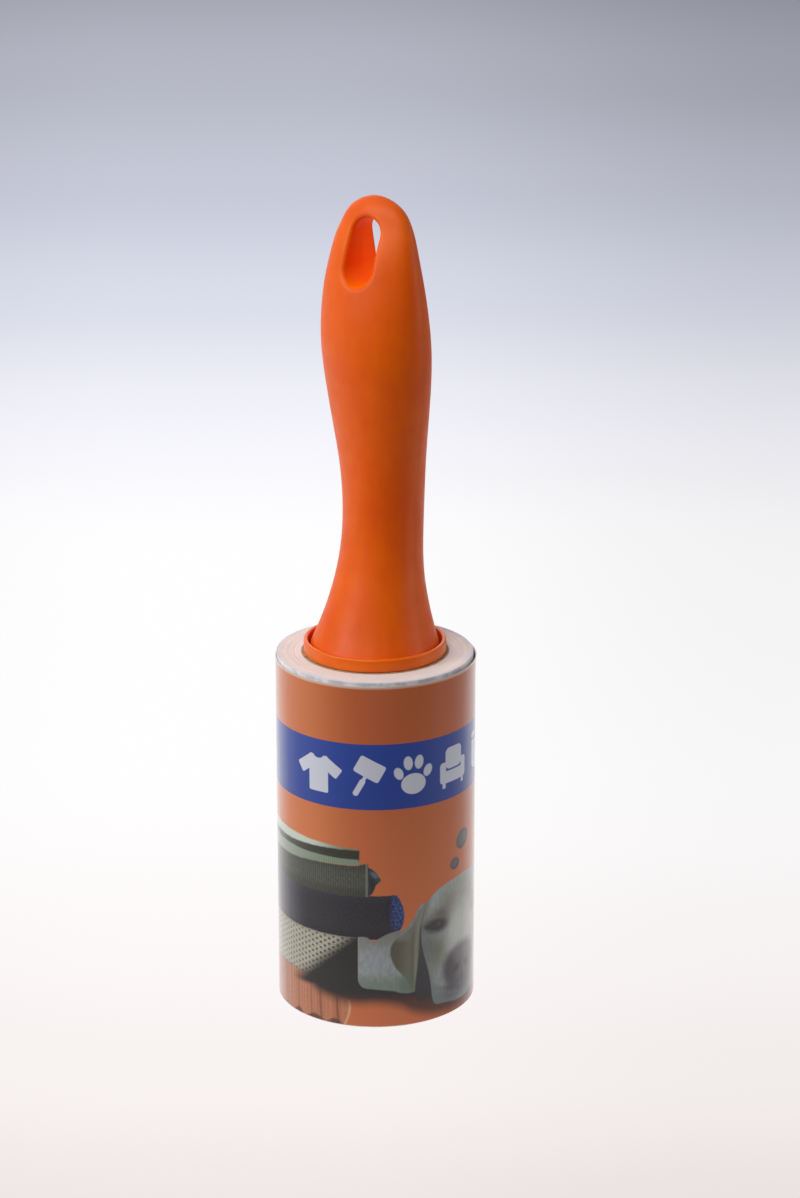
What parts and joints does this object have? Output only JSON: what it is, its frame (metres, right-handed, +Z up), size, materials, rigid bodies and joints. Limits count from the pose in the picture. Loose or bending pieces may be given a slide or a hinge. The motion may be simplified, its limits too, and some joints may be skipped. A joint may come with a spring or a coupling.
{
  "type": "lint roller",
  "caption": "Hand-held lint roller with a hollow waisted grip, a hang slot, a free-spinning sleeve and a refill roll of adhesive sheets under a printed cover.",
  "frame": {"origin": "centre of the roll's bottom face, on the spin axis, where the roller stands on its end", "axes": "+Z up along the spin axis to the tip of the grip; the hang slot runs along Y; the grip's wide front looks along -Y and its waist bows towards +Y"},
  "size_m": [0.0554, 0.0554, 0.2286],
  "materials": {
    "grip_plastic": "satin, fine moulded texture",
    "axle_plastic": "satin",
    "spindle_plastic": "semi-gloss",
    "core_board": "matt",
    "sheet_edge": "matt",
    "sheet_face": "tacky gloss",
    "printed_paper": "gloss print"
  },
  "bodies": {
    "handle": {"grip_shell_front": "grip_plastic", "grip_shell_back": "grip_plastic", "axle_stem": "axle_plastic"},
    "spindle": {"spindle_sleeve": "spindle_plastic", "spindle_end_cap": "spindle_plastic"},
    "refill_roll": {"paper_core": "core_board", "adhesive_sheets": "sheet_edge", "lead_sheet": "sheet_face"},
    "printed_cover": {"cover_wrap": "printed_paper"}
  },
  "joints": [
    {"name": "roller_spin", "type": "hinge", "parent": "handle", "child": "spindle", "pos_m": [0, 0, 0], "axis": [0, 0, 1], "continuous": true},
    {"name": "refill_slide", "type": "slide", "parent": "spindle", "child": "refill_roll", "axis": [0, 0, -1], "range_m": [0, 0.11]},
    {"name": "cover_slide", "type": "slide", "parent": "refill_roll", "child": "printed_cover", "axis": [0, 0, -1], "range_m": [0, 0.105]}
  ]
}
